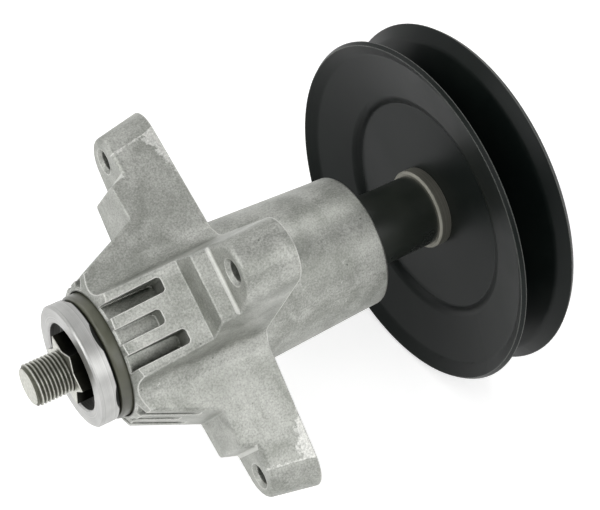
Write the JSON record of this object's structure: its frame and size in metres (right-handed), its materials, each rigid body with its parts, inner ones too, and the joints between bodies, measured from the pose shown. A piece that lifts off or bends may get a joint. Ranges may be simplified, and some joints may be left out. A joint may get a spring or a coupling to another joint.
{
  "type": "mower deck spindle assembly",
  "caption": "Blade spindle for a mower deck: a finned cast bearing housing with bolt ears, a threaded star-drive shaft in ball bearings and a pressed V-belt pulley.",
  "frame": {"origin": "centre of the arms' mounting face, on the shaft axis", "axes": "+Z along the shaft from the blade end to the pulley; +X and +Y along two of the arms"},
  "size_m": [0.1518, 0.1518, 0.1954],
  "materials": {
    "cast_housing": "as cast, shot blasted",
    "shaft_steel": "turned, oiled",
    "turned_ring": "bright turned",
    "shield": "satin black",
    "spacer": "drawn tube",
    "sleeve": "black oxide",
    "hub": "machined steel",
    "pulley": "satin black coating",
    "plated_steel": "zinc plated",
    "bearing_steel": "ground",
    "cage_steel": "pressed",
    "seal_rubber": "moulded"
  },
  "bodies": {
    "housing": {"spindle_housing": "cast_housing", "lower_bearing_outer_ring": "bearing_steel", "lower_bearing_blade_seal": "seal_rubber", "lower_bearing_pulley_seal": "seal_rubber", "upper_bearing_outer_ring": "bearing_steel", "upper_bearing_blade_seal": "seal_rubber", "upper_bearing_pulley_seal": "seal_rubber"},
    "rotor": {"spindle_shaft": "shaft_steel", "blade_seat_ring": "turned_ring", "dust_shield": "shield", "lower_bearing_inner_ring": "bearing_steel", "bearing_spacer_tube": "spacer", "upper_bearing_inner_ring": "bearing_steel", "pulley_sleeve": "sleeve", "pulley_hub": "hub", "pulley_lower_half": "pulley", "pulley_upper_half": "pulley", "pulley_washer": "plated_steel", "pulley_nut": "plated_steel"},
    "lower_ball_set": {"lower_bearing_balls": "bearing_steel", "lower_bearing_cage": "cage_steel"},
    "upper_ball_set": {"upper_bearing_balls": "bearing_steel", "upper_bearing_cage": "cage_steel"}
  },
  "joints": [
    {"name": "shaft_spin", "type": "hinge", "parent": "housing", "child": "rotor", "pos_m": [0, 0, 0], "axis": [0, 0, 1], "continuous": true},
    {"name": "lower_cage_orbit", "type": "hinge", "parent": "housing", "child": "lower_ball_set", "pos_m": [0, 0, -0.0237], "axis": [0, 0, 1], "continuous": true},
    {"name": "upper_cage_orbit", "type": "hinge", "parent": "housing", "child": "upper_ball_set", "pos_m": [0, 0, 0.0671], "axis": [0, 0, 1], "continuous": true}
  ],
  "couplings": [
    {"joint": "lower_cage_orbit", "follows": "shaft_spin", "ratio": 0.3816},
    {"joint": "upper_cage_orbit", "follows": "shaft_spin", "ratio": 0.3816}
  ]
}
